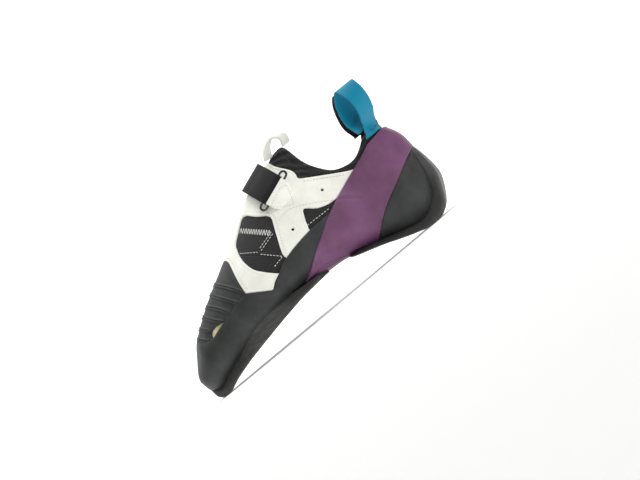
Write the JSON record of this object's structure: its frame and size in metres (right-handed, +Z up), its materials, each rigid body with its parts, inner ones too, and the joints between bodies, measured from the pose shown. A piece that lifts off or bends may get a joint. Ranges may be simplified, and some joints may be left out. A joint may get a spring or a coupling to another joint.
{
  "type": "climbing shoe",
  "caption": "Slip-on climbing shoe with a down-turned toe, split sole, rubber rand and heel, one strap through a wire ring and pull loops.",
  "frame": {"origin": "centre of the bounding box in X and Y, on the floor that the soles stand on", "axes": "+X from toe to heel, +Y to the shoe's inner (big toe) side, +Z up out of the floor"},
  "size_m": [0.241, 0.09, 0.1282],
  "materials": {
    "black_textile": "knitted stretch textile with embossed waves, matt",
    "insole_felt": "thin felt, matt",
    "purple_rubber": "smooth moulded rubber, satin",
    "black_rubber": "moulded rubber, satin",
    "off_white_suede": "microfibre suede, fine nap",
    "sole_rubber": "ground edge, smooth tread face",
    "black_webbing": "woven webbing, matt",
    "teal_webbing": "woven ribbon, satin",
    "ring_wire": "black coated wire, glossy"
  },
  "bodies": {
    "root": {"upper": "black_textile", "insole": "insole_felt", "tension_band": "purple_rubber", "toe_rand": "black_rubber", "toe_patch": "black_rubber", "suede_overlay": "off_white_suede", "heel_cup": "black_rubber", "forefoot_sole": "sole_rubber", "heel_sole": "sole_rubber", "strap": "black_webbing", "ring_tab": "off_white_suede", "strap_ring": "ring_wire", "front_pull_loop": "off_white_suede", "heel_loop_lateral": "teal_webbing", "heel_loop_medial": "black_webbing"}
  },
  "joints": []
}
